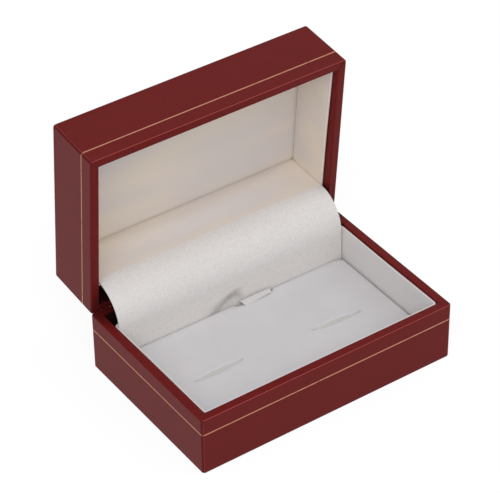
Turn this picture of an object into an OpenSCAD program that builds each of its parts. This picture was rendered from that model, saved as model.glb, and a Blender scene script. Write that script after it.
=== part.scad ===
// Cufflink display box: two moulded trays wrapped in leatherette, joined by a
// sprung steel hinge behind a flexible cover. The base holds a lift-out velvet
// pad with two slits, and the lid is lined with satin.
// The origin is the middle of the underside, X to the right, Y to the back, Z up.
// Both halves are drawn with their closed face down and their rim up. The lid is
// then turned over onto the base, and swung open about the hinge axis.

/* [Box] */
// Width of the box, left to right
box_w = 90; // [76:1:120]
// Depth of the closed box, front to back
box_d = 59; // [50:1:80]
// Height of the base, from the table to its rim
base_h = 20.3; // [18:0.1:30]
// Height of the lid, from its rim to its top
lid_h = 20.4; // [18:0.1:30]
// Gap between the two rims when the box is shut
rim_gap = 0.2; // [0.1:0.05:0.3]
// Radius of the upright corners
corner_r = 1.2; // [1:0.1:2]
// Radius of the outer edge of each rim
rim_r = 0.6; // [0.6:0.05:0.9]
// Radius of the outer edge of each closed face
face_r = 0.7; // [0.6:0.1:1.2]
// Angle that the lid opens to from shut
open_deg = 85; // [70:0.5:90]

/* [Walls and wrap] */
// Thickness of the leatherette wrap
wrap_t = 0.4; // [0.3:0.05:0.5]
// Thickness of the glue between wrap and tray
glue_t = 0.03; // [0.02:0.01:0.05]
// Thickness of the side walls of both trays
tray_wall = 2.1; // [1.8:0.1:2.4]
// Thickness of the floor of the base tray
floor_t = 1.2; // [1:0.1:2]
// Thickness of the roof of the lid tray
roof_t = 0.9; // [0.8:0.1:1.6]
// Depth that the wrap is turned in behind each rim
turn_in_h = 4.5; // [4:0.5:6]
// Width that the wrap is turned in under each closed face
turn_under_w = 6; // [4:0.5:10]
// Thickness of the sheet glued under the base
sheet_t = 0.25; // [0.2:0.05:0.5]
// Distance from the sheet to the edge of the box
sheet_inset = 1.6; // [1.4:0.1:3]

/* [Gold lines] */
// Distance from the rim of the base down to its gold line
base_line_drop = 5.6; // [3:0.1:9]
// Distance from the rim of the lid to its gold line
lid_line_drop = 5.0; // [3:0.1:9]
// Width of each gold line
line_w = 0.45; // [0.3:0.05:0.8]
// Depth that the gold foil is pressed into the wrap
foil_t = 0.12; // [0.08:0.02:0.2]
// Play between the foil and the edges of its groove
foil_play = 0.01; // [0.005:0.005:0.02]

/* [Card liners] */
// Thickness of the card liner in the base
liner_t = 0.6; // [0.5:0.05:0.8]
// Thickness of the satin covered card in the lid
satin_card_t = 0.7; // [0.6:0.05:0.9]
// Gap between a liner and the wrap around it
liner_play = 0.1; // [0.05:0.05:0.2]
// Distance that the base liner stops short of its rim
liner_drop = 0.4; // [0.2:0.1:1]
// Distance that the lid liner stops short of its rim
lid_liner_drop = 2.5; // [2:0.1:3.8]
// Radius of the corners of both liners
liner_r = 1.2; // [1:0.1:2]
// Length of the ends of the base liner folded in behind the hinge cover
return_l = 8; // [5:0.5:15]
// Distance from the back of the box to those folded ends
return_bay = 8.1; // [7.8:0.1:8.2]

/* [Lid lining] */
// Thickness of the card behind the satin top panel
roof_card_t = 0.4; // [0.3:0.05:0.6]
// Thickness of the satin and wadding of the top panel
satin_pad_t = 0.7; // [0.5:0.05:1.2]
// Radius of the soft edge of the satin top panel
satin_edge_r = 0.5; // [0.3:0.05:0.6]
// Gap round the top panel and beside the false back
lining_play = 0.15; // [0.1:0.05:0.3]
// Height from the rim of the lid to the lower edge of its false back
false_back_drop = 1.7; // [1.4:0.1:3]

/* [Pad] */
// Thickness of the card under the pad
pad_board_t = 0.8; // [0.5:0.1:1.5]
// Thickness of the foam of the pad
pad_foam_t = 5.7; // [3:0.1:7]
// Thickness of the velvet over the foam
velvet_t = 0.45; // [0.3:0.05:0.6]
// Radius of the soft top edge of the pad
pad_edge_r = 1.2; // [0.8:0.1:2]
// Gap between the pad and the liner
pad_play = 0.3; // [0.25:0.05:0.6]
// Gap behind the pad, in which the pull tab stands
tab_gap = 0.6; // [0.55:0.05:1.2]
// Length of each slit
slit_l = 17; // [12:0.5:22]
// Width of each slit at its middle
slit_w = 1.8; // [0.6:0.1:2.2]
// Distance between the middles of the two slits
slit_pitch = 42; // [30:0.5:50]
// Distance from the middle of the pad forward to the left slit
slit_forward = -0.4; // [-6:0.1:6]
// Distance that the right slit lies further forward than the left
slit_step = 1.8; // [0:0.1:3]

/* [Pull tab] */
// Width of the ribbon tab
tab_w = 11.5; // [8:0.5:20]
// Distance of the tab to the right of the middle
tab_x = 7.9; // [0:0.1:15]
// Thickness of the ribbon
ribbon_t = 0.3; // [0.25:0.05:0.4]
// Height that the tab stands above the pad
tab_rise = 1.4; // [1:0.1:4]
// Length of the end of the tab that lies forward over the pad
tab_reach = 2.4; // [2:0.1:5]

/* [Hinge] */
// Distance from the back of the box to the hinge axis
axis_inset = 0.4; // [0.35:0.05:0.45]
// Diameter of each hinge pin
pin_d = 1.0; // [0.8:0.1:1.1]
// Gap all round a pin in its knuckles
pin_play = 0.05; // [0.03:0.01:0.08]
// Wall of a knuckle
knuckle_wall = 0.4; // [0.3:0.05:0.45]
// Gap between the knuckles and the notch that they lie in
knuckle_play = 0.15; // [0.1:0.05:0.2]
// Knuckles in each of the two barrels
knuckles = 5; // [3:2:7]
// Gap between neighbouring knuckles
knuckle_gap = 0.2; // [0.15:0.05:0.3]
// Length of each barrel
barrel_l = 15.5; // [12:0.5:20]
// Distance from the middle of the box to each barrel
barrel_start = 7.5; // [7:0.5:10]
// Gap between a barrel and the ends of its notch
notch_play = 0.3; // [0.25:0.05:0.5]
// Thickness of the hinge leaves
leaf_t = 0.45; // [0.35:0.05:0.5]
// Height of a hinge leaf below the hinge axis
leaf_drop = 9.4; // [9:0.1:11]
// Diameter of the rivets
rivet_d = 1.6; // [1.2:0.1:2]
// Diameter of the rivet heads
rivet_head_d = 2.8; // [2.4:0.1:3.4]
// Thickness of the rivet heads
rivet_head_t = 0.5; // [0.4:0.05:0.8]
// Gap all round a rivet in its hole
rivet_play = 0.04; // [0.02:0.01:0.08]
// Distance from the hinge axis down to the row of rivets
rivet_drop = 5; // [4:0.1:6]

/* [Bow spring] */
// Width of the bow spring
bow_w = 11; // [8:0.5:12]
// Thickness of the spring strip
bow_t = 0.3; // [0.2:0.05:0.35]
// Height of the bow above the line between its two hooks
bow_sag = 4.7; // [4.6:0.05:4.8]
// Distance from the hinge axis forward to each hook
hook_reach = 2.9; // [2.8:0.05:3]
// Distance from the hinge axis along the box to each hook
hook_drop = 7.4; // [7.2:0.1:7.6]
// Radius of the rolled ends of the spring
roll_r = 0.45; // [0.4:0.05:0.5]
// Gap between a rolled end and the tongue over it
roll_play = 0.05; // [0.03:0.01:0.1]

/* [Hinge cover] */
// Distance from the back of the box to the front of the cover
cover_bay = 9.6; // [9.4:0.05:9.8]
// Radius of the bend of the cover over the hinge
cover_r = 11.8; // [11.4:0.1:12.2]
// Distance from the hinge axis down to where the bend starts
cover_sink = 2.1; // [1.8:0.1:2.4]
// Thickness of the cover
cover_t = 0.45; // [0.3:0.05:0.6]
// Gap between the cover and the liner at each side
cover_play = 0.3; // [0.25:0.05:0.6]
// Length of the foot of the cover glued to the floor
cover_foot = 4; // [3:0.5:5]
// Length of the cover glued over the false back
cover_hem = 1.5; // [1:0.1:3]
// Gap between the glued hem and the satin
hem_play = 0.05; // [0.03:0.01:0.1]

/* [Hidden] */
$fn = 48;

past = 1;
skin_t = wrap_t + glue_t;
base_half_h = base_h - sheet_t;
// Inside of the tray walls, and the mouth that the turned-in wrap leaves
cavity_w = box_w - 2 * (skin_t + tray_wall);
cavity_d = box_d - 2 * (skin_t + tray_wall);
cavity_r = 0.8;
mouth_w = cavity_w - 2 * skin_t;
mouth_d = cavity_d - 2 * skin_t;
liner_w = mouth_w - 2 * liner_play;
liner_front = mouth_d / 2 - liner_play;
floor_z = sheet_t + skin_t + floor_t;
// Hinge axis, on the base
axis_y = box_d / 2 - axis_inset;
axis_z = base_h + rim_gap / 2;
knuckle_r = pin_d / 2 + pin_play + knuckle_wall;
knuckle_l = (barrel_l - (knuckles - 1) * knuckle_gap) / knuckles;
seat_drop = knuckle_r + knuckle_play;
leaf_l = 2 * (barrel_start + barrel_l);
leaf_y = cavity_d / 2;
rivet_xs = [barrel_start + 3, barrel_start + barrel_l - 3];
// Hinge cover
cover_y = box_d / 2 - cover_bay;
cover_w = liner_w - 2 * (max(liner_t, satin_card_t) + cover_play);
cover_bend_y = cover_y + cover_r;
cover_bend_z = axis_z - cover_sink;
// Middle of the bend on the shut lid, measured from the hinge axis as [y, z]
cover_bend_shut = [
  (cover_bend_y - axis_y) * cos(open_deg) + cover_sink * sin(open_deg),
  (cover_bend_y - axis_y) * sin(open_deg) - cover_sink * cos(open_deg)
];
// The false back lies behind the glued hem, which leaves the bend at a tangent
false_back_y = axis_y + cover_bend_shut[0] - cover_r + cover_t + hem_play;
// Lid lining, measured up from the closed face of the lid
roof_z = skin_t + roof_t;
panel_z = roof_z + roof_card_t + satin_pad_t;
lid_lining_w = liner_w - 2 * satin_card_t;
// Pad
pad_w = liner_w - 2 * (liner_t + pad_play);
pad_front = liner_front - liner_t - pad_play;
pad_back = cover_y - tab_gap;
pad_d = pad_front + pad_back;
pad_y = (pad_back - pad_front) / 2;
pad_h = pad_board_t + pad_foam_t + velvet_t;
slit_y = pad_y - slit_forward;
// Ends of the bow spring with the lid open, measured from the hinge axis as [y, z]
hook_base = [-hook_reach, -hook_drop];
hook_lid = [
  -hook_reach * cos(open_deg) + hook_drop * sin(open_deg),
  hook_reach * sin(open_deg) + hook_drop * cos(open_deg)
];
bow_chord = hook_lid - hook_base;
bow_half = norm(bow_chord) / 2;
bow_r = (pow(bow_half, 2) + pow(bow_sag, 2)) / (2 * bow_sag);
bow_front = [-bow_chord[1], bow_chord[0]] / norm(bow_chord);
bow_centre = (hook_base + hook_lid) / 2 - bow_front * (bow_r - bow_sag);
bow_turn = atan2(bow_front[1], bow_front[0]) - 90;

// Shared shapes

module rounded_rect(w, d, r) {
  square([w - 2 * r, d], center = true);
  square([w, d - 2 * r], center = true);
  for (x = [-1, 1], y = [-1, 1])
    translate([x * (w / 2 - r), y * (d / 2 - r)]) circle(r);
}

// Outline of a wall seen from the side, with a face radius below and a rim radius above
module side_outline(w, h, rim, face) {
  translate([-w / 2, face]) square([w, h - rim - face]);
  translate([face - w / 2, 0]) square([w - 2 * face, h / 2]);
  translate([rim - w / 2, h / 2]) square([w - 2 * rim, h / 2]);
  for (x = [-1, 1]) {
    translate([x * (w / 2 - face), face]) circle(face);
    translate([x * (w / 2 - rim), h - rim]) circle(rim);
  }
}

// Block with rounded upright corners, and rounded edges above and below
module soft_block(w, d, h, corner, rim, face) {
  intersection() {
    linear_extrude(h) rounded_rect(w, d, corner);
    rotate([90, 0, 0]) linear_extrude(d + past, center = true) side_outline(w, h, rim, face);
    rotate([90, 0, 90]) linear_extrude(w + past, center = true) side_outline(d, h, rim, face);
  }
}

// Carries an outline drawn as [y, z] across the box, centred left to right
module across(w) {
  rotate([90, 0, 90]) linear_extrude(w, center = true) children();
}

module on_both_sides() {
  children();
  mirror([1, 0, 0]) children();
}

// Places a half drawn rim up: the base on its sheet, the lid over it and swung open
module as_base() {
  translate([0, 0, sheet_t]) children();
}

module as_lid() {
  translate([0, axis_y, axis_z]) rotate([-open_deg, 0, 0]) translate([0, -axis_y, -axis_z])
    translate([0, 0, base_h + rim_gap + lid_h]) mirror([0, 0, 1]) children();
}

// Halves of the box

// Notches for the two barrels, cut through the back wall from the rim
module barrel_notches(h) {
  notch_z = h + rim_gap / 2 - seat_drop;
  on_both_sides()
    translate([barrel_start - notch_play, cavity_d / 2 - past, notch_z])
      cube([barrel_l + 2 * notch_play, box_d, seat_drop + past]);
}

module gold_groove(h, drop) {
  translate([0, 0, h - drop - line_w / 2]) difference() {
    linear_extrude(line_w) square([box_w + past, box_d + past], center = true);
    translate([0, 0, -past]) linear_extrude(line_w + 2 * past)
      rounded_rect(box_w - 2 * foil_t, box_d - 2 * foil_t, corner_r - foil_t);
  }
}

// Leatherette over the sides, turned in behind the rim and in under the closed face
module wrap(h, drop) {
  difference() {
    union() {
      difference() {
        soft_block(box_w, box_d, h, corner_r, rim_r, face_r);
        translate([0, 0, wrap_t])
          soft_block(box_w - 2 * wrap_t, box_d - 2 * wrap_t, h - 2 * wrap_t,
            corner_r - wrap_t, rim_r - wrap_t, face_r - wrap_t);
      }
      translate([0, 0, h - turn_in_h]) linear_extrude(turn_in_h - wrap_t / 2)
        rounded_rect(cavity_w - 2 * glue_t, cavity_d - 2 * glue_t, cavity_r - glue_t);
    }
    translate([0, 0, h - turn_in_h - past]) linear_extrude(turn_in_h + 2 * past)
      rounded_rect(mouth_w, mouth_d, cavity_r - skin_t);
    gold_groove(h, drop);
    barrel_notches(h);
    // The turned-in edge is cut away where the hinge leaf lies on the tray
    translate([-leaf_l / 2 - notch_play, mouth_d / 2 - past, h - turn_in_h - past])
      cube([leaf_l + 2 * notch_play, past + skin_t, turn_in_h + 2 * past]);
  }
}

// Moulded tray with rivet holes in its back wall
module tray(h, panel_t) {
  difference() {
    translate([0, 0, skin_t])
      soft_block(box_w - 2 * skin_t, box_d - 2 * skin_t, h - 2 * skin_t,
        corner_r - skin_t, rim_r - skin_t, face_r - skin_t);
    translate([0, 0, skin_t + panel_t]) linear_extrude(h) rounded_rect(cavity_w, cavity_d, cavity_r);
    barrel_notches(h);
    at_rivets(h) translate([0, leaf_y - past, 0]) rivet_hole();
  }
}

module gold_line(h, drop) {
  translate([0, 0, h - drop - line_w / 2 + foil_play]) linear_extrude(line_w - 2 * foil_play)
    difference() {
      rounded_rect(box_w - 2 * foil_play, box_d - 2 * foil_play, corner_r - foil_play);
      rounded_rect(box_w - 2 * foil_t + 2 * foil_play, box_d - 2 * foil_t + 2 * foil_play,
        corner_r - foil_t + foil_play);
    }
}

// Card wall round the front and both sides, reaching back to back_y
module liner_wall(t, back_y) {
  mid_y = (back_y - liner_front) / 2;
  d = back_y + liner_front;
  translate([0, mid_y]) difference() {
    rounded_rect(liner_w, d, liner_r);
    rounded_rect(liner_w - 2 * t, d - 2 * t, liner_r - t);
  }
}

// Sprung hinge

module at_rivets(h) {
  on_both_sides() for (x = rivet_xs) translate([x, 0, h + rim_gap / 2 - rivet_drop]) children();
}

module rivet_hole() {
  rotate([-90, 0, 0]) cylinder(d = rivet_d + 2 * rivet_play, h = box_d);
}

// Plate on the inside of the back wall, with tabs over the rim to every second knuckle
module hinge_leaf(h, first) {
  axis_h = h + rim_gap / 2;
  tab_z = axis_h - seat_drop;
  tongue_z = axis_h - hook_drop + roll_r + roll_play;
  window_w = bow_w + 1;
  difference() {
    union() {
      translate([-leaf_l / 2, leaf_y - leaf_t, axis_h - leaf_drop])
        cube([leaf_l, leaf_t, leaf_drop - seat_drop + leaf_t]);
      translate([-bow_w / 2, axis_y - hook_reach + bow_t / 2, tongue_z])
        cube([bow_w, leaf_y - axis_y + hook_reach - bow_t / 2, leaf_t]);
      on_both_sides() for (k = [first : 2 : knuckles - 1])
        translate([barrel_start + k * (knuckle_l + knuckle_gap), 0, 0]) {
          translate([0, leaf_y - leaf_t, tab_z]) cube([knuckle_l, axis_y - leaf_y + leaf_t, leaf_t]);
          translate([0, axis_y, axis_h]) rotate([0, 90, 0]) cylinder(r = knuckle_r, h = knuckle_l);
        }
    }
    translate([-leaf_l, axis_y, axis_h]) rotate([0, 90, 0])
      cylinder(d = pin_d + 2 * pin_play, h = 2 * leaf_l);
    at_rivets(h) translate([0, leaf_y - leaf_t - past, 0]) rivet_hole();
    // Windows that let the bow spring past the plate, above and below its tongue
    translate([-window_w / 2, leaf_y - leaf_t - past, axis_h - 2 * seat_drop])
      cube([window_w, leaf_t + 2 * past, 2 * seat_drop]);
    translate([-window_w / 2, leaf_y - leaf_t - past, axis_h - leaf_drop - past])
      cube([window_w, leaf_t + 2 * past, leaf_drop - hook_drop + roll_r + roll_play + past]);
  }
}

// Rivets from the head on the leaf to the outside of the tray
module hinge_rivets(h) {
  shank_l = box_d / 2 - skin_t - leaf_y + leaf_t - rivet_play;
  at_rivets(h) translate([0, leaf_y - leaf_t, 0]) rotate([-90, 0, 0]) {
    cylinder(d = rivet_d, h = shank_l);
    translate([0, 0, -rivet_head_t]) cylinder(d = rivet_head_d, h = rivet_head_t);
  }
}

// Base

module base_sheet() {
  color("dimgray") linear_extrude(sheet_t)
    rounded_rect(box_w - 2 * sheet_inset, box_d - 2 * sheet_inset, corner_r);
}

module base_shell() {
  color("black") as_base() tray(base_half_h, floor_t);
}

module base_wrap() {
  color("maroon") as_base() difference() {
    wrap(base_half_h, base_line_drop);
    translate([0, 0, -past]) linear_extrude(skin_t + 2 * past)
      rounded_rect(box_w - 2 * turn_under_w, box_d - 2 * turn_under_w, corner_r);
  }
}

module base_gold_line() {
  color("goldenrod") as_base() gold_line(base_half_h, base_line_drop);
}

module base_liner() {
  inner_w = liner_w - 2 * liner_t;
  color("gainsboro") translate([0, 0, floor_z]) linear_extrude(base_h - liner_drop - floor_z)
    difference() {
      liner_wall(liner_t, box_d / 2 - return_bay);
      translate([return_l - inner_w / 2, 0]) square([inner_w - 2 * return_l, box_d]);
    }
}

module base_hinge_leaf() {
  color("silver") as_base() hinge_leaf(base_half_h, 0);
}

module base_hinge_rivets() {
  color("darkgray") as_base() hinge_rivets(base_half_h);
}

module hinge_pins() {
  color("lightgray") on_both_sides()
    translate([barrel_start - pin_play, axis_y, axis_z]) rotate([0, 90, 0])
      cylinder(d = pin_d, h = barrel_l + 2 * pin_play);
}

// A strip in a plain arc, with its ends rolled where they hook under the tongues
module bow_spring() {
  color("lightsteelblue") translate([0, axis_y, axis_z]) across(bow_w) {
    translate(bow_centre) rotate(bow_turn) difference() {
      circle(bow_r + bow_t / 2, $fn = 96);
      circle(bow_r - bow_t / 2, $fn = 96);
      translate([-2 * bow_r, -2 * bow_r]) square([4 * bow_r, 3 * bow_r - bow_sag]);
    }
    for (hook = [hook_base, hook_lid]) translate(hook) circle(roll_r);
  }
}

// One flexible sheet: foot on the floor, up behind the pad, round the hinge, onto the false back
module hinge_cover() {
  hem_l = false_back_drop - cover_bend_shut[1] + cover_hem;
  // The foot lies between the folded ends of the liner
  foot_w = liner_w - 2 * (liner_t + return_l + cover_play);
  color("whitesmoke") {
    across(foot_w) translate([cover_y, floor_z]) square([cover_foot, cover_t]);
    across(cover_w) cover_outline(hem_l);
  }
}

// Outline of the cover above its foot, as [y, z]
module cover_outline(hem_l) {
  translate([cover_y, floor_z]) square([cover_t, cover_bend_z - floor_z]);
  translate([cover_bend_y, cover_bend_z]) difference() {
    circle(cover_r, $fn = 96);
    circle(cover_r - cover_t, $fn = 96);
    translate([-2 * cover_r, -2 * cover_r]) square([4 * cover_r, 2 * cover_r]);
    rotate(90 - open_deg) square([2 * cover_r, 2 * cover_r]);
    square([2 * cover_r, 2 * cover_r]);
  }
  translate([cover_bend_y, cover_bend_z]) rotate(90 - open_deg)
    translate([0, cover_r - cover_t]) square([hem_l, cover_t]);
}

// Lift-out pad

module at_slits() {
  translate([-slit_pitch / 2, slit_y, floor_z + pad_board_t]) children();
  translate([slit_pitch / 2, slit_y - slit_step, floor_z + pad_board_t]) children();
}

// A slit with gently parted lips: the overlap of two wide circles
module slit() {
  slit_r = (pow(slit_l / 2, 2) + pow(slit_w / 2, 2)) / slit_w;
  linear_extrude(pad_h) intersection() {
    translate([0, slit_r - slit_w / 2]) circle(slit_r, $fn = 192);
    translate([0, slit_w / 2 - slit_r]) circle(slit_r, $fn = 192);
  }
}

module pad_board() {
  color("tan") translate([0, pad_y, floor_z]) linear_extrude(pad_board_t)
    square([pad_w - 2 * velvet_t, pad_d - 2 * velvet_t], center = true);
}

module pad_foam() {
  color("lightgray") difference() {
    translate([0, pad_y, floor_z + pad_board_t])
      soft_block(pad_w - 2 * velvet_t, pad_d - 2 * velvet_t, pad_foam_t,
        pad_edge_r - velvet_t, pad_edge_r - velvet_t, 0.1);
    at_slits() slit();
  }
}

module pad_velvet() {
  color("ghostwhite") difference() {
    translate([0, pad_y, floor_z]) soft_block(pad_w, pad_d, pad_h, pad_edge_r, pad_edge_r, 0.1);
    translate([0, pad_y, floor_z - past]) linear_extrude(past + pad_board_t + 0.1)
      square([pad_w - 2 * velvet_t, pad_d - 2 * velvet_t], center = true);
    translate([0, pad_y, floor_z + pad_board_t])
      soft_block(pad_w - 2 * velvet_t, pad_d - 2 * velvet_t, pad_foam_t,
        pad_edge_r - velvet_t, pad_edge_r - velvet_t, 0.1);
    at_slits() slit();
  }
}

// Ribbon up the back of the pad, bent forward over its edge
module pull_tab() {
  bend_r = tab_rise - 0.2;
  stand = pad_h + tab_rise - bend_r;
  tab_y = pad_back + (tab_gap - ribbon_t) / 4;
  color("white") translate([tab_x, tab_y + ribbon_t, floor_z]) across(tab_w) {
    translate([-ribbon_t, 0]) square([ribbon_t, stand]);
    translate([-bend_r, stand]) difference() {
      circle(bend_r);
      circle(bend_r - ribbon_t);
      translate([-2 * bend_r, -2 * bend_r]) square([2 * bend_r, 4 * bend_r]);
      translate([-2 * bend_r, -2 * bend_r]) square([4 * bend_r, 2 * bend_r]);
    }
    translate([-tab_reach, stand + bend_r - ribbon_t]) square([tab_reach - bend_r, ribbon_t]);
  }
}

// Lid

module lid_shell() {
  color("black") as_lid() tray(lid_h, roof_t);
}

module lid_wrap() {
  color("maroon") as_lid() wrap(lid_h, lid_line_drop);
}

module lid_gold_line() {
  color("goldenrod") as_lid() gold_line(lid_h, lid_line_drop);
}

// Satin covered card round the front and sides, open at the back
module lid_liner() {
  open_y = false_back_y + satin_card_t + lining_play;
  color("linen") as_lid() translate([0, 0, roof_z]) linear_extrude(lid_h - lid_liner_drop - roof_z)
    difference() {
      liner_wall(satin_card_t, open_y + 2 * liner_r);
      translate([-box_w / 2, open_y]) square([box_w, box_d]);
    }
}

module lid_false_back() {
  w = lid_lining_w - 2 * lining_play;
  color("antiquewhite") as_lid() translate([-w / 2, false_back_y, roof_z])
    cube([w, satin_card_t, lid_h + rim_gap / 2 - false_back_drop - roof_z]);
}

// Depth of the satin panel, from the front liner to the false back
module lid_panel_block(t, edge) {
  front = liner_front - satin_card_t - lining_play;
  back = false_back_y - lining_play;
  translate([0, (back - front) / 2, 0])
    soft_block(lid_lining_w - 2 * lining_play, back + front, t, liner_r, edge, 0.1);
}

module lid_roof_card() {
  color("tan") as_lid() translate([0, 0, roof_z]) lid_panel_block(roof_card_t, 0.1);
}

module lid_satin_pad() {
  color("linen") as_lid() translate([0, 0, roof_z + roof_card_t])
    lid_panel_block(satin_pad_t, satin_edge_r);
}

module lid_hinge_leaf() {
  color("silver") as_lid() hinge_leaf(lid_h, 1);
}

module lid_hinge_rivets() {
  color("darkgray") as_lid() hinge_rivets(lid_h);
}

base_sheet();
base_shell();
base_wrap();
base_gold_line();
base_liner();
base_hinge_leaf();
base_hinge_rivets();
hinge_pins();
bow_spring();
hinge_cover();
pad_board();
pad_foam();
pad_velvet();
pull_tab();
lid_shell();
lid_wrap();
lid_gold_line();
lid_liner();
lid_false_back();
lid_roof_card();
lid_satin_pad();
lid_hinge_leaf();
lid_hinge_rivets();
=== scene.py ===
"""Cufflink display box, shown open: its camera, light and surfaces, piece by piece as it is put together."""

import math

import bmesh
import bpy
import numpy as np
from mathutils import Matrix, Vector


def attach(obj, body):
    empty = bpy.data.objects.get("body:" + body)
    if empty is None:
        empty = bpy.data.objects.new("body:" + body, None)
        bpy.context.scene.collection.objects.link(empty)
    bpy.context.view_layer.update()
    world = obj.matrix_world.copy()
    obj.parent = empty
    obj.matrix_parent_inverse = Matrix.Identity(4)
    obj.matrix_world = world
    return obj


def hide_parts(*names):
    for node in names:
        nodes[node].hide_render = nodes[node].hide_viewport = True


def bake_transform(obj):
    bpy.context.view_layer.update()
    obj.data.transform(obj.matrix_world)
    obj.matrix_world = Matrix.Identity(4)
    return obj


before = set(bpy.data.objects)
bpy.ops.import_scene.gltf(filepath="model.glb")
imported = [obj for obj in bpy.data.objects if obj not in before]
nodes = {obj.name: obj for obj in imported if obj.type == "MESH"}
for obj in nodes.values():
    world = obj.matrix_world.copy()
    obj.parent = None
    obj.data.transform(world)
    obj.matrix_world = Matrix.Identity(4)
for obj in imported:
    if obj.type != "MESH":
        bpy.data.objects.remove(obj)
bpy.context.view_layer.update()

# The camera stands before the box, to its left and above it, about 0.7 m away.
azimuth, elevation, roll = np.radians([-34.517, 37.866, -0.772])
towards_camera = Vector(
    (math.sin(azimuth) * math.cos(elevation), -math.cos(azimuth) * math.cos(elevation), math.sin(elevation))
)
level = Vector((0, 0, 1)).cross(towards_camera).normalized()
upright = towards_camera.cross(level)
camera = bpy.data.objects.new("camera", bpy.data.cameras.new("camera"))
camera.data.sensor_width = 36
camera.data.lens = 174.104
camera.matrix_world = (
    Matrix.Translation((-0.3206, -0.45535, 0.47692))
    @ Matrix(
        (
            level * math.cos(roll) + upright * math.sin(roll),
            upright * math.cos(roll) - level * math.sin(roll),
            towards_camera,
        )
    )
    .transposed()
    .to_4x4()
)
bpy.context.scene.collection.objects.link(camera)
bpy.context.scene.camera = camera
bpy.context.scene.view_settings.view_transform = "Standard"


# A light tent: a pale floor and a white surround. The camera and every gloss see them as
# white, and the box is lit by a softer level of the same white and by two wide soft lamps.
def tint(code):
    """Linear colour, with alpha, of a colour written as #rrggbb."""
    share = np.array([int(code[k : k + 2], 16) / 255 for k in (1, 3, 5)])
    linear = np.where(share > 0.04045, ((share + 0.055) / 1.055) ** 2.4, share / 12.92)
    return (*linear, 1.0)


def add(tree, kind, inputs=None, **settings):
    """A shader node with its settings and inputs. An input that is given a socket is linked to it."""
    made = tree.nodes.new(kind)
    for key, value in settings.items():
        setattr(made, key, value)
    for key, value in (inputs or {}).items():
        if isinstance(value, bpy.types.NodeSocket):
            tree.links.new(value, made.inputs[key])
        else:
            made.inputs[key].default_value = value
    return made


def worked_out(tree, operation, first, second):
    """Outcome of an operation on two values."""
    return add(tree, "ShaderNodeMath", {0: first, 1: second}, operation=operation).outputs[0]


def seen_directly(tree):
    """1 for what the camera, a gloss or a clear piece sees, and 0 for light that falls on matt surfaces."""
    path = add(tree, "ShaderNodeLightPath").outputs
    seen = worked_out(tree, "MAXIMUM", path["Is Camera Ray"], path["Is Glossy Ray"])
    return worked_out(tree, "MAXIMUM", seen, path["Is Transmission Ray"])


surround = bpy.data.worlds.new("white_surround")
bpy.context.scene.world = surround
surround.use_nodes = True
tree = surround.node_tree
tree.nodes.clear()
shed = add(tree, "ShaderNodeBackground", {"Color": tint("#f6f7ff"), "Strength": 0.56})
white = add(tree, "ShaderNodeBackground", {"Color": (1, 1, 1, 1), "Strength": 1.0})
both = add(tree, "ShaderNodeMixShader", {0: seen_directly(tree), 1: shed.outputs[0], 2: white.outputs[0]})
add(tree, "ShaderNodeOutputWorld", {"Surface": both.outputs[0]})

floor_paint = bpy.data.materials.new("pale_floor")
floor_paint.use_nodes = True
tree = floor_paint.node_tree
tree.nodes.clear()
paper = add(tree, "ShaderNodeBsdfDiffuse", {"Color": (0.8, 0.8, 0.8, 1)})
white = add(tree, "ShaderNodeEmission", {"Color": (1, 1, 1, 1), "Strength": 1.09})
shadowed = add(tree, "ShaderNodeMixShader", {0: 0.82, 1: paper.outputs[0], 2: white.outputs[0]})
both = add(tree, "ShaderNodeMixShader", {0: seen_directly(tree), 1: paper.outputs[0], 2: shadowed.outputs[0]})
add(tree, "ShaderNodeOutputMaterial", {"Surface": both.outputs[0]})
floor_mesh = bpy.data.meshes.new("floor")
floor_mesh.from_pydata([(-4, -4, 0), (4, -4, 0), (4, 4, 0), (-4, 4, 0)], [], [(0, 1, 2, 3)])
floor_mesh.materials.append(floor_paint)
floor = bpy.data.objects.new("floor", floor_mesh)
bpy.context.scene.collection.objects.link(floor)

for name, place, side, watts in (
    ("front_left_lamp", (-0.45, -0.55, 0.75), 0.7, 4.6),
    ("right_lamp", (0.75, -0.25, 0.6), 0.8, 1.6),
):
    lamp = bpy.data.objects.new(name, bpy.data.lights.new(name, "AREA"))
    lamp.data.size = side
    lamp.data.energy = watts
    lamp.location = place
    lamp.rotation_mode = "QUATERNION"
    lamp.rotation_quaternion = (Vector((0, 0, 0.03)) - Vector(place)).to_track_quat("-Z", "Y")
    bpy.context.scene.collection.objects.link(lamp)


# Two trays moulded in black polystyrene, one for the base and one for the lid. They show only
# in the bay behind the hinge cover and in the notches of the hinge.
def surface(name):
    """New material: itself, its node tree, its shader, and each point's place in the object's own space."""
    made = bpy.data.materials.new(name)
    made.use_nodes = True
    tree = made.node_tree
    return made, tree, tree.nodes["Principled BSDF"], add(tree, "ShaderNodeTexCoord").outputs["Object"]


def stretched(tree, place, scale, turn=(0, 0, 0)):
    """Places scaled along each axis and turned, to draw a pattern out along the axis of least scale."""
    return add(tree, "ShaderNodeMapping", {"Vector": place, "Rotation": turn, "Scale": scale}).outputs[0]


def noise(tree, place, scale, detail, roughness=0.5):
    """Cloudy noise from 0 to 1, with scale in patches to the metre."""
    inputs = {"Vector": place, "Scale": scale, "Detail": detail, "Roughness": roughness}
    return add(tree, "ShaderNodeTexNoise", inputs).outputs["Fac"]


def between(tree, share, low, high):
    """Value that goes from low to high with share."""
    return add(tree, "ShaderNodeMix", {"Factor": share, "A": low, "B": high}).outputs["Result"]


def coloured(tree, share, low, high):
    """Colour that goes from low to high with share. Each of them is a socket, or is written as #rrggbb."""
    low, high = (tint(end) if isinstance(end, str) else end for end in (low, high))
    inputs = {"Factor": share, "A": low, "B": high}
    return add(tree, "ShaderNodeMix", inputs, data_type="RGBA").outputs["Result"]


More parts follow.
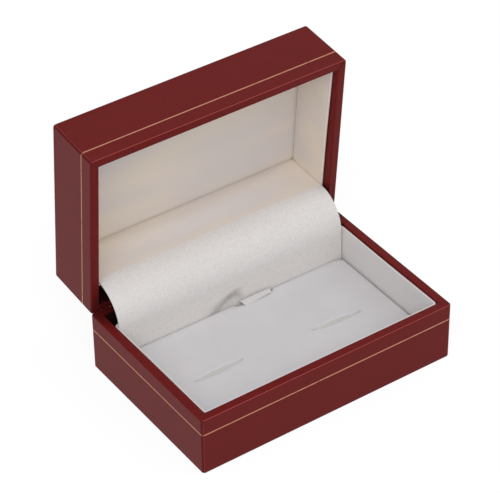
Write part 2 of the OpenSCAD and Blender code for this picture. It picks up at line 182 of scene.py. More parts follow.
def ranged(tree, value, low, high, start, end):
    """Value carried from the range low to high onto the range start to end, and kept within it."""
    inputs = {"Value": value, "From Min": low, "From Max": high, "To Min": start, "To Max": end}
    return add(tree, "ShaderNodeMapRange", inputs).outputs[0]


def cover_with(tree, shader, colour, relief, height, gloss, sunk=False):
    """Gives the shader its colour, its gloss and a relief, raised or sunk by height in millimetres."""
    inputs = {"Strength": 1.0, "Distance": height / 1000, "Height": relief}
    raised = add(tree, "ShaderNodeBump", inputs, invert=sunk)
    tree.links.new(colour, shader.inputs["Base Color"])
    tree.links.new(raised.outputs[0], shader.inputs["Normal"])
    for socket, value in gloss.items():
        shader.inputs[socket].default_value = value


def grained(name, tones, roughness, patch, grain, height, stretch=(1, 1, 1), **gloss):
    """Surface whose colour drifts between two tones over patches, with a fine grain raised by height. patch
    and grain are the sizes of the two noises, and all three are in millimetres."""
    made, tree, shader, spot = surface(name)
    spot = stretched(tree, spot, stretch)
    broad = noise(tree, spot, 1000 / patch, 3.0, 0.55)
    fine = noise(tree, spot, 1000 / grain, 2.0, 0.6)
    cover_with(tree, shader, coloured(tree, between(tree, 0.4, broad, fine), *tones), fine, height, gloss)
    tree.links.new(ranged(tree, broad, 0.3, 0.7, *roughness), shader.inputs["Roughness"])
    return made


def dress(material, *names):
    """Gives CAD nodes a material in each of their own slots."""
    for name in names:
        for slot in nodes[name].material_slots:
            slot.material = material


black_moulding = grained("black_moulding", ("#0b0a0b", "#151314"), (0.32, 0.5), 6, 0.25, 0.012)
dress(black_moulding, "base_shell", "lid_shell")


# Red leatherette paper, glued over the outside of each tray, over its rim and down inside it.
# The base has it turned in underneath, round a pasted sheet, and the lid is covered whole.
# It is cut away at the hinge, and its corners are folded in with a slanting crease.
box_w, box_d, base_h, lid_h = 90, 59, 20.05, 20.4
sheet_t, rim_gap = 0.25, 0.2
axis_y, axis_z, open_turn = 29.1, 20.4, math.radians(85)
wrap_t, corner_r, mouth_r, rim_r, inner_r = 0.4, 1.0, 0.37, 0.48, 0.4
base_face_r, lid_face_r = 0.42, 0.73
mouth_inset, tray_inset, turn_in, turn_under = 2.96, 2.5, 4.5, 6.0
line_half, line_lip, line_beside, line_deep = 0.215, 0.3, 0.6, 0.12
notch_drop, notch_ends, middle_w = 1.0, (7.18, 23.32), 30
fold_from, fold_w, fold_h, crease_w, crease_deep = 0.45, 0.28, 0.08, 0.12, 0.15
highlight_from, highlight_w = 0.14, 0.06
bay_y, bay_dark, rim_dark, rim_dim_y = 20.2, 1.35, 0.6, 21
flat_within, wander_length = 0.05, 34


def smooth(share):
    """Smooth step from 0 to 1."""
    share = np.clip(share, 0, 1)
    return share * share * (3 - 2 * share)


def ramp(value, start, width):
    """Share from 0 to 1 as a value rises from start by width, or falls from it where width is negative."""
    return np.clip((value - start) / width, 0, 1)


def hump(value, middle, width):
    """Bell curve, 1 high, over a middle."""
    return np.exp(-(((value - middle) / width) ** 2))


def path_point(along_x, share, turn, half_d, radius):
    """Point of a rounded rectangle: along_x and a share of the depth give the centre of a corner, or a place
    between two of them, and the radius is added in the direction of turn."""
    return along_x + radius * np.cos(turn), share * (half_d - radius) + radius * np.sin(turn)


def box_stations():
    """Stations round the box from the front left, as distance across, share of the depth, and direction.
    They crowd at the corners, for the creases, and at the ends of the hinge notches."""
    near = np.array([0.15, 0.35, 0.6, 0.9, 1.3, 1.8, 2.6, 3.8, 6, 9, 12.5])
    reach, run = box_w / 2 - corner_r, box_d - 2 * corner_r
    start, stop = notch_ends
    notch = [start - 0.002, start, 9.4, 12, 15, 18, 21, stop, stop + 0.002]
    half = np.r_[0, 1.8, 3.6, 5.4, notch, 24.5, 26, 28, middle_w, (reach - near)[::-1]]
    front = np.r_[-half[:0:-1], half]
    side = np.r_[near[:-1], np.linspace(11, run - 11, 15), run - near[-2::-1]] / (run / 2) - 1
    sweep = np.radians(np.linspace(0, 90, 25))
    parts = []
    for quarter in range(4):
        turn = math.radians(90 * quarter - 90)
        side_x, side_y = ((1, -1), (1, 1), (-1, 1), (-1, -1))[quarter]
        if quarter in (0, 2):
            xs = front if quarter == 0 else front[::-1]
            parts.append((xs, np.full(xs.size, side_y), np.full(xs.size, turn)))
        else:
            ys = side if quarter == 1 else side[::-1]
            parts.append((np.full(ys.size, side_x * reach), ys, np.full(ys.size, turn)))
        parts.append((np.full(25, side_x * reach), np.full(25, side_y), turn + sweep))
    return [np.concatenate(column) for column in zip(*parts)]


def carried_round(stations, inset):
    """x and y of every station at every inset: the box's rounded outline, shrunk by the inset. Its corners
    tighten from the outer radius to that of the mouth, and stations near the middle keep their x."""
    across, share, turn = (column[:, None] for column in stations)
    half_w, half_d = box_w / 2 - inset[None, :], box_d / 2 - inset[None, :]
    radius = np.minimum(np.maximum(corner_r - inset[None, :], mouth_r), half_d)
    reach, kept = half_w - radius, np.minimum(1, (half_w - radius) / (middle_w + 1))
    beyond = (np.abs(across) - middle_w) / (box_w / 2 - corner_r - middle_w)
    outer = middle_w * kept + beyond * (reach - middle_w * kept)
    along_x = np.sign(across) * np.where(np.abs(across) <= middle_w, np.abs(across) * kept, outer)
    return path_point(along_x, share, turn, half_d, radius)


def arc(centre, radius, start, end, count):
    """Points of an arc, as inset and height, from start to end in degrees."""
    turn = np.radians(np.linspace(start, end, count))
    return np.c_[centre[0] + radius * np.cos(turn), centre[1] + radius * np.sin(turn)]


def straight(start, end, count):
    """Points on a straight line, with its ends left out."""
    share = np.linspace(0, 1, count + 2)[1:-1, None]
    return np.array(start) * (1 - share) + np.array(end) * share


def wrap_profile(h, drop, end, face_r):
    """Section through the leatherette, as inset and height: up the turned-in edge, over the rim, down the
    side past the groove of the gold line, round the closed face of edge radius face_r to end, and back along
    the glued side."""
    line = h - drop
    above = np.array([line_beside, 0.42, 0.34, line_lip, 0.275, 0.25, 0.235, line_half, 0.1])
    above = np.r_[above, 0, -above[::-1]]
    deep = line_deep * smooth((line_lip - np.abs(above)) / (line_lip - line_half))
    outside = np.vstack(
        [
            [[mouth_inset - 0.15, h - turn_in]],
            [[mouth_inset, h - turn_in + 0.15]],
            straight((mouth_inset, h - turn_in + 0.15), (mouth_inset, h - inner_r), 4),
            arc((mouth_inset - inner_r, h - inner_r), inner_r, 0, 90, 8),
            straight((mouth_inset - inner_r, h), (rim_r, h), 7),
            arc((rim_r, h - rim_r), rim_r, 90, 180, 15),
            straight((0, h - rim_r), (0, line + line_beside), 4),
            np.c_[deep, line + above],
            straight((0, line - line_beside), (0, face_r), 8),
            arc((face_r, face_r), face_r, 180, 270, 9),
            straight((face_r, 0), (end, 0), 12),
            [[end, 0]],
        ]
    )
    glued = np.vstack(
        [
            [[end, wrap_t]],
            straight((end, wrap_t), (face_r, wrap_t), 4),
            arc((face_r, face_r), face_r - wrap_t, 270, 180, 4),
            arc((rim_r, h - rim_r), rim_r - wrap_t, 180, 90, 6),
            [[mouth_inset - wrap_t, h - wrap_t]],
            [[mouth_inset - wrap_t, h - turn_in]],
        ]
    )
    return outside, glued


def ripple(points, length, seed):
    """Smooth wander between about -1 and 1: the mean of six sine waves of about that length, in directions
    drawn from seed."""
    draw = np.random.default_rng(seed)
    heading = draw.normal(size=(6, 3))
    heading *= draw.uniform(0.7, 1.4, (6, 1)) / np.linalg.norm(heading, axis=1, keepdims=True)
    phase = draw.uniform(0, 2 * math.pi, 6)
    return np.sin(points @ heading.T * (2 * math.pi / length) + phase).mean(-1) * 2


def quads(rows, columns, around, along):
    """Faces between neighbouring points of a grid. around joins its last row to its first, and along does the
    same for its columns."""
    i = np.arange(rows if around else rows - 1)[:, None]
    j = np.arange(columns if along else columns - 1)[None, :]
    down, right = (i + 1) % rows, (j + 1) % columns
    return np.stack([i * columns + j, down * columns + j, down * columns + right, i * columns + right], -1)


def as_base(points):
    """Points of a half drawn rim up, in their place in the base."""
    return points + np.array([0, 0, sheet_t])


def as_lid(points):
    """Points of a half drawn rim up, turned over onto the base and swung open about the hinge axis."""
    y = points[..., 1] - axis_y
    z = rim_gap / 2 + lid_h - points[..., 2]
    cosine, sine = math.cos(open_turn), math.sin(open_turn)
    return np.stack([points[..., 0], axis_y + y * cosine + z * sine, axis_z - y * sine + z * cosine], -1)


def make(name, points, faces, material, sharp=40, caps=(), **fields):
    """Mesh piece from points in millimetres. Points that coincide are merged, faces point outwards, and each
    field is kept as an attribute of the mesh."""
    mesh = bpy.data.meshes.new(name)
    mesh.from_pydata((points.reshape(-1, 3) / 1000).tolist(), [], [*faces.reshape(-1, 4).tolist(), *caps])
    for key, values in fields.items():
        kept = mesh.attributes.new(key, "FLOAT", "POINT")
        kept.data.foreach_set("value", values.astype(np.float32).ravel())
    shape = bmesh.new()
    shape.from_mesh(mesh)
    bmesh.ops.remove_doubles(shape, verts=shape.verts, dist=1e-7)
    bmesh.ops.dissolve_degenerate(shape, edges=shape.edges, dist=1e-8)
    bmesh.ops.recalc_face_normals(shape, faces=shape.faces)
    if shape.calc_volume(signed=True) < 0:
        bmesh.ops.reverse_faces(shape, faces=shape.faces)
    shape.to_mesh(mesh)
    shape.free()
    mesh.shade_smooth()
    mesh.set_sharp_from_angle(angle=math.radians(sharp))
    mesh.materials.append(material)
    piece = bpy.data.objects.new(name, mesh)
    bpy.context.scene.collection.objects.link(piece)
    return piece


def wrap_mesh(name, h, drop, end, face_r, foot, creases, place, material, seed):
    """The leatherette of one half: its profile carried round the box, and cut at the hinge. foot is how far
    its lower edge swells below the closed face. creases says how deep the folds are at the front left corner,
    at the front right one and at the rear ones."""
    outside, glued = wrap_profile(h, drop, end, face_r)
    profile = np.vstack([outside, glued])
    inset, drawn_z = profile.T
    across, share, turn = (column[:, None] for column in stations)
    x, y = carried_round(stations, inset)
    z = np.broadcast_to(drawn_z, x.shape).copy()
    shown = (np.arange(len(profile)) < len(outside))[None, :]
    # The turned-in edge is tucked out of sight behind the hinge leaf, and the rim is cut down at the barrels
    at_back = (share > 0.99) & (np.abs(turn - math.pi / 2) < 0.01)
    tucked = at_back & (np.abs(across) <= notch_ends[1]) & (y < box_d / 2 - tray_inset) & (z > 2)
    y = np.where(tucked, box_d / 2 - tray_inset, y)
    notched = at_back & (np.abs(across) >= notch_ends[0]) & (np.abs(across) <= notch_ends[1])
    z = np.where(notched, np.minimum(z, h - notch_drop - np.where(shown, 0.02, 0.1)), z)
    # Each corner of the rim has a crease on its slant, with the folded paper swelling beside it
    from_side, from_front = box_w / 2 - np.abs(x), box_d / 2 - np.abs(y)
    slant = (from_side - from_front) / math.sqrt(2)
    rim = shown * ramp(z, h - 1, 0.5) * ramp(from_side, 3.2, -0.4)
    left, right, rear = creases
    deep = rim * np.where(y > 0, rear, np.where(x < 0, left, right))
    z = z + deep * (fold_h * hump(slant, fold_from, fold_w) - crease_deep * hump(slant, 0, crease_w))
    z = z - foot * shown * ramp(z, 1, -1) * ramp(inset, 1.5, -0.4)
    points = np.stack([x, y, z], -1)
    # The walls and the closed face are not quite flat
    soft = (0.5 + 0.5 * ripple(points, wander_length, seed)).clip(0, 1) * flat_within
    wall = shown * (inset < 0.01) * (z > face_r) * (z < h - rim_r)
    points[..., 1] -= soft * wall * (np.abs(np.sin(turn)) > 0.99) * np.sign(np.sin(turn))
    points[..., 0] -= soft * wall * (np.abs(np.cos(turn)) > 0.99) * np.sign(np.cos(turn))
    points[..., 2] += soft * shown * (inset > face_r) * (drawn_z < 0.01)
    faces = quads(*x.shape, True, True)
    # Where the closed face is covered whole, the section ends at the middle and has no edge to close
    if end > turn_under:
        faces = np.delete(faces, len(outside) - 1, axis=1)
    # Painted shade darkens the creases and the upright edges, and a painted highlight lightens the front of
    # the rim and the front corners
    corner = shown * (1 - rim) * (np.maximum(from_side, from_front) < corner_r) * (z > 0.2)
    dark = deep * hump(slant, 0, 0.2) + corner * hump(slant, -0.12, 0.16)
    # Painted highlight on the rounded front edge of the rim, and beside the front upright edges
    light = shown * hump(inset, highlight_from, highlight_w) * (drawn_z > h - rim_r - 0.01)
    light = light * np.clip(-np.sin(turn), 0, 1) ** 6 + 0.3 * corner * hump(slant, 0.3, 0.13) * (share < 0)
    # Behind the hinge cover, painted shade darkens the turned-in edge and dims the rim towards it
    behind = (inset > 2.7) * (drawn_z > h - turn_in - 0.1) * ramp(y, bay_y, 0.8)
    dimmed = (z > h - 0.3) * ramp(y, rim_dim_y, 7)
    dark = np.maximum(dark, shown * np.maximum(bay_dark * behind, rim_dark * dimmed))
    return make(name, place(points), faces, material, sharp=50, dark=dark, light=light)


def field(tree, name):
    """Share that a mesh keeps as an attribute, or 0 where it has none."""
    return add(tree, "ShaderNodeAttribute", attribute_name=name).outputs["Fac"]


def pebbling(tree, place, smoothness):
    """Cells of pebble grain, 0.4 mm across, as the distance from the middle of each."""
    inputs = {"Vector": place, "Scale": 2600.0, "Smoothness": smoothness}
    return add(tree, "ShaderNodeTexVoronoi", inputs, feature="SMOOTH_F1").outputs["Distance"]


leatherette, tree, shader, spot = surface("red_leatherette")
grain = between(tree, 0.35, pebbling(tree, spot, 0.6), noise(tree, spot, 5200.0, 2.0))
tone = coloured(tree, noise(tree, spot, 120.0, 4.0, 0.6), "#6b1310", "#771814")
tone = coloured(tree, grain, tone, "#5b0e0c")
# Painted shade: the dark attribute darkens the creases, the upright edges and the bay behind the hinge cover
tone = coloured(tree, worked_out(tree, "MULTIPLY", field(tree, "dark"), 0.7), tone, "#220606")
# Painted highlight: the light attribute lightens the front of the rim and the front corners
tone = coloured(tree, worked_out(tree, "MULTIPLY", field(tree, "light"), 0.95), tone, "#a5524e")
gloss = {"Roughness": 0.5, "Specular IOR Level": 0.1, "Sheen Weight": 0.03}
cover_with(tree, shader, tone, grain, 0.035, gloss, sunk=True)

stations = box_stations()
base_line_drop, lid_line_drop, foot_swell = 5.6, 5.0, 0.17
base_leatherette = wrap_mesh(
    "base_leatherette",
    base_h,
    base_line_drop,
    turn_under,
    base_face_r,
    foot_swell,
    (0.1, 0.7, 0.4),
    as_base,
    leatherette,
    seed=3,
)
lid_leatherette = wrap_mesh(
    "lid_leatherette",
    lid_h,
    lid_line_drop,
    box_d / 2,
    lid_face_r,
    0,
    (0.5, 1, 0.4),
    as_lid,
    leatherette,
    seed=8,
)
for piece, body, node in ((base_leatherette, "base", "base_wrap"), (lid_leatherette, "lid", "lid_wrap")):
    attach(piece, body)
    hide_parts(node)


# A thin line of gold foil, pressed with a hot die into the leatherette right round each half.
# The foil lies a little below the surface and has worn through in places.
foil_half = np.array([[0.115, 0.21], [0.06, 0.212], [0.045, 0.19], [0.036, 0.1]])
foil_section = np.vstack([foil_half * (1, -1), [[0.034, 0]], foil_half[::-1]])
gold_foil, tree, shader, spot = surface("gold_foil")
worn = ranged(tree, noise(tree, spot, 420.0, 5.0, 0.7), 0.54, 0.72, 0.0, 0.75)
worn = worked_out(tree, "MAXIMUM", worn, field(tree, "corner"))
tone = coloured(tree, worn, "#c18a6f", "#7a2c20")
cover_with(tree, shader, tone, noise(tree, spot, 3200.0, 2.0), 0.02, {"Roughness": 0.45})
tree.links.new(worked_out(tree, "SUBTRACT", 0.9, worn), shader.inputs["Metallic"])

for name, h, drop, place, body in (
    ("base_foil_line", base_h, base_line_drop, as_base, "base"),
    ("lid_foil_line", lid_h, lid_line_drop, as_lid, "lid"),
):
    x, y = carried_round(stations, foil_section[:, 0])
    points = np.stack([x, y, np.broadcast_to(h - drop + foil_section[:, 1], x.shape)], -1)
    cornered = np.broadcast_to(0.85 * np.abs(np.sin(2 * stations[2]))[:, None], x.shape)
    foil = make(name, place(points), quads(*x.shape, True, True), gold_foil, corner=cornered)
    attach(foil, body)
    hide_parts(name.replace("foil", "gold"))


# A sheet of dark paper is pasted under the base, over the turned-in leatherette.
underside_paper = grained(
    "underside_paper", ("#1d1a1a", "#2b2727"), (0.75, 0.9), 9, 0.3, 0.02, stretch=(1, 2.4, 1)
)
dress(underside_paper, "base_sheet")


# White card, folded into a wall that lines the front and sides of the base. Its ends are folded
# in behind the hinge cover, and it stands on the floor of the tray with its top edge just
# below the rim.
liner_half_w, liner_front, liner_r, liner_t, liner_top = 41.94, 26.44, 1.2, 0.6, 19.9
floor_z, return_back, return_end = 1.88, 21.4, 33.34


def wall_stations(half_w, end_x, end_y, radius, middle, half_d):
    """Stations of an open wall, from its left rear end round the left, front and right sides to its right
    rear end. With end_x it is folded in at the back as far as end_x, and without it the sides run straight
    to end_y."""
    sweep = np.radians(np.linspace(0, 90, 13))
    reach = half_w - radius
    runs = []
    if end_x is not None:
        xs = np.linspace(-end_x, -reach, 6)
        runs.append((xs, np.ones(6), np.full(6, math.pi / 2)))
        runs.append((np.full(13, -reach), np.ones(13), math.pi / 2 + sweep))
        first = 1.0
    else:
        first = (end_y - middle) / (half_d - radius)
    ys = np.linspace(first, -1, 16)
    runs.append((np.full(16, -reach), ys, np.full(16, math.pi)))
    runs.append((np.full(13, -reach), -np.ones(13), math.pi + sweep))
    runs.append((np.linspace(-reach, reach, 30), -np.ones(30), np.full(30, 1.5 * math.pi)))
    left = [np.concatenate(column) for column in zip(*runs)]
    keep = left[0] < -1e-6
    left = [column[keep] for column in left]
    right = [-left[0][::-1], left[1][::-1], math.pi - left[2][::-1]]
    return [np.r_[a, b] for a, b in zip(left, right)]


def flat_ends(rows, columns):
    """Faces that close the first and last sections of a swept piece."""
    return [list(range(columns))[::-1], list(range((rows - 1) * columns, rows * columns))]


def card_wall(name, path, plan, thick, low, high, slope, soften, bow, place, material):
    """Upright card wall on an open path: a section with a rounded top edge, carried along the path at its
    inset. plan is its half width, half depth, middle and corner radius. Its top rises by slope from the
    middle to the front and falls as much to the back. Between its corners it bows inwards, most at its
    top."""
    half_w, half_d, middle, radius = plan
    section = np.vstack(
        [
            [[0, low]],
            straight((0, low), (0, high - soften), 5),
            arc((soften, high - soften), soften, 180, 90, 7),
            arc((thick - soften, high - soften), soften, 90, 0, 7),
            straight((thick, high - soften), (thick, low), 5),
            [[thick, low]],
        ]
    )
    across, share, turn = (column[:, None] for column in path)
    inset = section[None, :, 0]
    x, y = path_point(across, share, turn, half_d - inset, radius - inset)
    z = np.broadcast_to(section[:, 1], x.shape)
    lift = (z - low) / (high - low)
    front = (np.abs(np.sin(turn)) > 0.99) * (share < 0)
    side = (np.abs(np.cos(turn)) > 0.99) * 1.0
    y = y + front * bow * lift * np.cos(x / half_w * math.pi / 2) ** 2
    x = x - side * np.sign(x) * bow * lift * np.cos(share * math.pi / 2) ** 2
    points = np.stack([x, y + middle, z - slope * lift * y / half_d], -1)
    return make(name, place(points), quads(*x.shape, False, True), material, caps=flat_ends(*x.shape))


def stay(points):
    """Points that are already in their place."""
    return points


white_card = grained(
    "white_card", ("#d5d2d0", "#e1dedb"), (0.6, 0.72), 14, 0.35, 0.012, **{"Specular IOR Level": 0.35}
)
middle, half_d = (return_back - liner_front) / 2, (return_back + liner_front) / 2
path = wall_stations(liner_half_w, return_end, None, liner_r, middle, half_d)
plan = (liner_half_w, half_d, middle, liner_r)
card_lining = card_wall(
    "base_card_lining", path, plan, liner_t, floor_z, liner_top, 0, 0.25, 0.12, stay, white_card
)
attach(card_lining, "base")
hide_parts("base_liner")


# Sprung hinge of plated steel: a leaf riveted inside the back wall of each half, with rolled
# knuckles that turn on two short pins. A bowed strip of spring steel hooks under a tongue of
# each leaf, and snaps the lid open or shut as it passes over the pins.
bow_half_w, bow_t, roll_r = 5.5, 0.3, 0.45
hook_base, hook_lid, bow_sag = np.array([-2.9, -7.4]), np.array([7.119, 3.534]), 4.7


def strip_section(half_w, thick, soften):
    """Section of a flat strip with rounded long edges, as distance across it and through it."""
    ends = []
    for side, start in ((1, -90), (-1, 90)):
        ends.append(arc((side * (half_w - soften), 0), soften, start, start + 180, 7))
    section = np.vstack(ends)
    section[:, 1] *= thick / 2 / soften
    return section


def directions(line):
    """Unit directions along a line of points."""
    step = np.gradient(line, axis=0)
    return step / np.linalg.norm(step, axis=1, keepdims=True)


plated_steel = grained(
    "plated_steel", ("#8f9297", "#a9abae"), (0.28, 0.42), 2.5, 0.12, 0.006, stretch=(1, 6, 6), Metallic=1.0
)
spring_steel = grained(
    "spring_steel", ("#5d6067", "#797c82"), (0.22, 0.36), 1.8, 0.1, 0.004, stretch=(6, 1, 1), Metallic=1.0
)
dress(plated_steel, "base_hinge_leaf", "lid_hinge_leaf", "base_hinge_rivets", "lid_hinge_rivets")
dress(spring_steel, "hinge_pins")
chord = hook_lid - hook_base
half_chord = np.linalg.norm(chord) / 2
bulge = np.array([-chord[1], chord[0]]) / (2 * half_chord)
bow_r = (half_chord**2 + bow_sag**2) / (2 * bow_sag)
centre = (hook_base + hook_lid) / 2 - bulge * (bow_r - bow_sag)
half_turn = math.asin(half_chord / bow_r)
lean = math.atan2(bulge[1], bulge[0])
swing = lean + np.linspace(half_turn, -half_turn, 60)
bow_line = centre + bow_r * np.c_[np.cos(swing), np.sin(swing)]
# Each end is rolled outwards into a small eye that hooks under its tongue
eyes = []
for hook, start, sense in ((hook_base, swing[0], 1), (hook_lid, swing[-1], -1)):
    roll = start + sense * np.radians(np.linspace(0, 300, 26))
    eyes.append(hook + (roll_r - bow_t / 2) * np.c_[np.cos(roll), np.sin(roll)])
bow_line = np.vstack([eyes[0][::-1], bow_line[2:-2], eyes[1]])
step = directions(bow_line)
through = np.c_[-step[:, 1], step[:, 0]]
section = strip_section(bow_half_w, bow_t, 0.15)
x = np.broadcast_to(section[:, 0], (len(bow_line), len(section)))
yz = bow_line[:, None, :] + section[None, :, 1, None] * through[:, None, :]
points = np.stack([x, yz[..., 0] + axis_y, yz[..., 1] + axis_z], -1)
spring = make(
    "hinge_bow_spring", points, quads(*x.shape, False, True), spring_steel, caps=flat_ends(*x.shape)
)
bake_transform(spring)
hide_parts("bow_spring")


# Hinge cover: one sheet of white grained paper cloth. It is glued by a foot to the floor, stands
# up behind the pad, bends back over the hinge in a wide curve, and is glued by a hem to the
# lid's false back. It takes up the movement of the lid.
cover_front, cover_half_w, foot_half_w, cover_t = 19.9, 40.94, 33.04, 0.45
bend_r, bend_y, bend_z, bend_end, foot_l, hem_l = 11.8, 31.7, 18.3, 95, 4.0, 0.793
dent_left, dent_right, dent_top, dent_rise, dent_deep = -10, 4, 12.1, 0.36, 3.4
sway_h, sway_length = 0.12, 26


def cover_line():
    """Front surface of the cover seen from the side, as y and z, from the end of its foot to the end of its
    hem."""
    ease = 0.8
    foot = np.c_[np.linspace(cover_front + foot_l, cover_front + ease, 6), np.full(6, floor_z)]
    heel = arc((cover_front + ease, floor_z + ease), ease, 270, 180, 7)[1:-1]
    rise = np.c_[np.full(26, cover_front), np.linspace(floor_z + ease, bend_z, 26)]
    bend = arc((bend_y, bend_z), bend_r, 180, bend_end, 52)[1:]
    along = np.array([math.sin(math.radians(bend_end)), -math.cos(math.radians(bend_end))])
    hem = bend[-1] + along * np.linspace(0, hem_l, 7)[1:, None]
    return np.vstack([foot, heel, rise, bend, hem])


line = cover_line()
step = directions(line)
inwards = np.c_[step[:, 1], -step[:, 0]]
run = np.r_[0, np.cumsum(np.linalg.norm(np.diff(line, axis=0), axis=1))]
across = np.linspace(-1, 1, 121)
wide = np.where(np.arange(len(line)) < 9, foot_half_w, cover_half_w)
x = across[:, None] * wide[None, :]
# The sheet is dented left of the pull tab and wanders a little elsewhere, except where it is glued
rise_z = line[:, 1]
free = ramp(rise_z, floor_z + 2, 6) * ramp(run, run[-1] - 1.5, -4)
flat_points = np.stack([x, np.broadcast_to(run, x.shape), np.zeros(x.shape)], -1)
edge_z = dent_top + dent_rise * (x + 7).clip(0, 6.5)
under = ramp(rise_z[None, :], edge_z, -5.2)
sides = ramp(x, dent_left, 12) ** 0.8 * ramp(x, dent_right, -2.6)
dent = dent_deep * under**1.2 * sides
sway = (dent + sway_h * (ripple(flat_points, sway_length, seed=21) + 0.6)) * free
front = line[None, :, :] + sway[..., None] * inwards[None, :, :]
rear = front + cover_t * inwards[None, :, :]
loop = np.concatenate([front, rear[:, ::-1]], axis=1)
x = np.concatenate([x, x[:, ::-1]], axis=1)
points = np.concatenate([x[..., None], loop], axis=-1)


def end_caps(rows, columns):
    """Faces that close the first and last rows of a folded strip. Each row runs up its front and down its
    rear."""
    starts = (0, (rows - 1) * columns)
    half = range(columns // 2 - 1)
    return [[a + k, a + k + 1, a + columns - 2 - k, a + columns - 1 - k] for a in starts for k in half]


pebbled, tree, shader, spot = surface("grained_cover")
fibres = noise(tree, spot, 1150.0, 4.0, 0.65)
grain = between(tree, 0.5, pebbling(tree, spot, 0.5), fibres)
tone = coloured(tree, ranged(tree, grain, 0.25, 0.65, 0.0, 1.0), "#e9e5e1", "#dad6d1")
gloss = {"Roughness": 0.5, "Specular IOR Level": 0.45}
cover_with(tree, shader, tone, grain, 0.07, gloss, sunk=True)

cover = make(
    "hinge_cover_sheet", points, quads(*x.shape, False, True), pebbled, sharp=55, caps=end_caps(*x.shape)
)
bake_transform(cover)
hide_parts("hinge_cover")


# Lift-out pad: a card base and a slab of foam, covered with white flock velvet that is drawn
# over the edges and glued underneath. Two slits are cut through it for the cufflinks. Their
# lips part a little at the top, and the foam closes them below.
pad_half_w, pad_half_d, pad_middle, pad_top = 41.04, 22.42, -3.12, 8.83
pad_edge, pad_corner, pad_swell = 1.1, 1.6, 0.45
slit_x, slit_y, slit_half_l, slit_half_w, slit_deep = 21.0, -3.62, 8.5, 0.62, 0.5
lip_drop, lip_bank, slit_reach = 0.3, 0.1, 3.0
pad_sag, worn_h, worn_length = 0.22, 0.05, 21
tab_x, tab_half_w, tab_lean = 7.9, 5.75, 1.1


def pillow(rows_x, rows_y, half_w, half_d, corner, edge, thick, layers):
    """Soft slab: a grid over the rounded rectangle, whose top falls away at the edge in a quarter circle, and
    then border layers that go down its sides. The square corners of the grid are drawn in to the round ones.
    Returns x, y, the height below the top, and the distance in from the edge, up to the corner radius."""
    deep = np.linspace(0, 1, layers + 1)[1:]
    wide = np.r_[np.full(layers, -half_w), rows_x, np.full(layers, half_w)]
    long = np.r_[np.full(layers, -half_d), rows_y, np.full(layers, half_d)]
    down_x = np.r_[deep[::-1], np.zeros(rows_x.size), deep]
    down_y = np.r_[deep[::-1], np.zeros(rows_y.size), deep]
    x, y = np.meshgrid(wide, long, indexing="ij")
    out_x = np.clip((np.abs(x) - half_w + corner) / corner, 0, 1)
    out_y = np.clip((np.abs(y) - half_d + corner) / corner, 0, 1)
    in_corner = (out_x > 0) & (out_y > 0)
    round_x = half_w - corner + corner * out_x * np.sqrt(1 - out_y * out_y / 2)
    round_y = half_d - corner + corner * out_y * np.sqrt(1 - out_x * out_x / 2)
    x = np.where(in_corner, np.sign(x) * round_x, x)
    y = np.where(in_corner, np.sign(y) * round_y, y)
    past_x = np.maximum(np.abs(x) - half_w + corner, 0)
    past_y = np.maximum(np.abs(y) - half_d + corner, 0)
    inset = np.where((past_x > 0) | (past_y > 0), corner - np.hypot(past_x, past_y), corner)
    inset = np.minimum(inset, np.minimum(half_w - np.abs(x), half_d - np.abs(y)).clip(0))
    near = np.clip(1 - inset / edge, 0, 1)
    fall = edge * (1 - np.sqrt(1 - near**2))
    side = np.maximum(down_x[:, None], down_y[None, :]) * (thick - edge)
    return x, y, fall + side, inset


def eased(half, edge, count, extra=()):
    """Grid lines from -half to half, which crowd towards both edges, with extra ones."""
    rim = half - edge + edge * np.sin(np.linspace(0, math.pi / 2, 9)[1:])
    inner = np.linspace(-(half - edge), half - edge, count)
    return np.unique(np.round(np.r_[-rim, inner, rim, np.array(extra, float)], 5))


velvet, tree, shader, spot = surface("velvet")
pile = noise(tree, spot, 4200.0, 3.0, 0.7)
drift = between(tree, 0.3, noise(tree, spot, 70.0, 4.0, 0.6), pile)
tone = coloured(tree, drift, "#c9c7c8", "#e0dddd")
tone = coloured(tree, field(tree, "cut"), tone, "#cac9c2")
# Painted shade along the lips, at the tips of the slits and round the pad's edge
tone = coloured(tree, worked_out(tree, "MULTIPLY", field(tree, "seam"), 0.4), tone, "#94908f")
gloss = {"Roughness": 0.95, "Specular IOR Level": 0.15, "Sheen Weight": 0.25, "Sheen Roughness": 0.5}
cover_with(tree, shader, tone, pile, 0.06, gloss)


def slit_line(x):
    """y of the line of both slits at x: each has its y at its own middle and its slope, and a smooth step
    joins them. The right slit lies further forward than the left, a little askew."""
    x = np.clip(x, -31, 31)
    share = smooth((x + 9) / 18)
    lines = ((-2.7, 0.017, -slit_x), (-4.44, -0.078, slit_x))
    left, right = (y + slope * (x - middle) for y, slope, middle in lines)
    return left * (1 - share) + right * share


slit_columns = np.array([side * slit_x + np.linspace(-9.6, 9.6, 79) for side in (-1, 1)]).ravel()
lip = np.array([0, 0.3, 0.55, 0.75, 0.88, 0.96, 1.0])
beyond = np.array([0.05, 0.12, 0.22, 0.36, 0.55, 0.8, 1.15, 1.6, 2.2, 3.0])
slit_rows = slit_y - pad_middle + np.r_[-(beyond[::-1] + 1), -lip[:0:-1], lip, beyond + 1]
xs = eased(pad_half_w, pad_edge, 60, slit_columns)
plain = eased(pad_half_d, pad_edge, 44)
ys = np.sort(np.r_[plain[(plain < slit_rows[0] - 0.4) | (plain > slit_rows[-1] + 0.4)], slit_rows])
x, y, fall, inset = pillow(xs, ys, pad_half_w, pad_half_d, pad_corner, pad_edge, pad_top - floor_z, 6)
